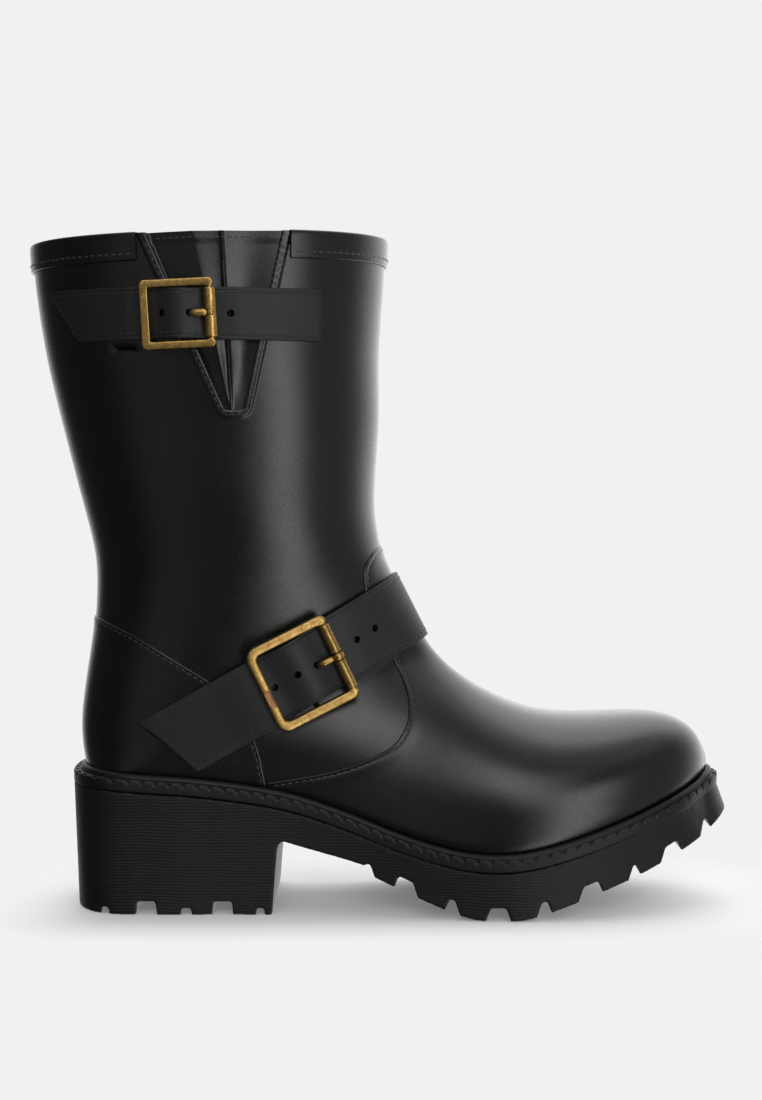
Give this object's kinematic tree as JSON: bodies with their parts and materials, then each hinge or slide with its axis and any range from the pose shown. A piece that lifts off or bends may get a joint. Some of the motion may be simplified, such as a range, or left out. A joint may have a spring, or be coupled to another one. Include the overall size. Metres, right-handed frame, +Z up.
{
  "type": "rubber rain boot",
  "caption": "Mid-calf moulded rubber rain boot with buckled calf and ankle straps, a pleated calf gusset, a stitched welt, a block heel and a lugged sole.",
  "frame": {"origin": "on the floor, at the middle of the heel's tread", "axes": "+X to the toe, +Y to the inner side of the foot, +Z up"},
  "size_m": [0.2933, 0.1182, 0.2773],
  "materials": {
    "upper_rubber": "semi-matte moulded rubber with soft highlights",
    "strap_rubber": "matte moulded rubber, edges with moulded stitching",
    "sole_rubber": "matte, finely ridged",
    "buckle_brass": "antique brass, dark in the hollows and bright on the edges",
    "inlay_copper": "dark copper, worn",
    "lining_textile": "knitted textile",
    "footbed_foam": "textile-covered foam",
    "insole_board": "fibre board",
    "shank_steel": "plain",
    "heel_core": "plain"
  },
  "bodies": {
    "boot": {"shaft": "upper_rubber", "vamp": "upper_rubber", "heel_counter": "upper_rubber", "gusset": "upper_rubber", "top_band": "upper_rubber", "lining": "lining_textile", "footbed": "footbed_foam", "insole_board": "insole_board", "shank": "shank_steel", "heel_core": "heel_core", "welt": "sole_rubber", "outsole": "sole_rubber", "calf_strap": "strap_rubber", "ankle_strap": "strap_rubber", "calf_buckle_frame": "buckle_brass", "calf_buckle_sleeve": "buckle_brass", "ankle_buckle_frame": "buckle_brass", "ankle_buckle_inlay": "inlay_copper"},
    "ankle_prong": {"ankle_buckle_prong": "buckle_brass"},
    "ankle_roller_upper": {"ankle_buckle_roller_upper": "buckle_brass"},
    "ankle_roller_lower": {"ankle_buckle_roller_lower": "buckle_brass"},
    "calf_prong": {"calf_buckle_prong": "buckle_brass"}
  },
  "joints": [
    {"name": "ankle_prong_hinge", "type": "hinge", "parent": "boot", "child": "ankle_prong", "pos_m": [0.06955, -0.03524, 0.10634], "axis": [-0.4188, -0.1163, 0.9006], "range_deg": [0, 100]},
    {"name": "ankle_roller_upper_spin", "type": "hinge", "parent": "boot", "child": "ankle_roller_upper", "pos_m": [0.06955, -0.03524, 0.10634], "axis": [-0.4188, -0.1163, 0.9006], "continuous": true},
    {"name": "ankle_roller_lower_spin", "type": "hinge", "parent": "boot", "child": "ankle_roller_lower", "pos_m": [0.06955, -0.03524, 0.10634], "axis": [-0.4188, -0.1163, 0.9006], "continuous": true},
    {"name": "calf_prong_hinge", "type": "hinge", "parent": "boot", "child": "calf_prong", "pos_m": [0.02052, -0.05881, 0.24355], "axis": [-0.0487, -0.0681, 0.9965], "range_deg": [0, 75]}
  ]
}
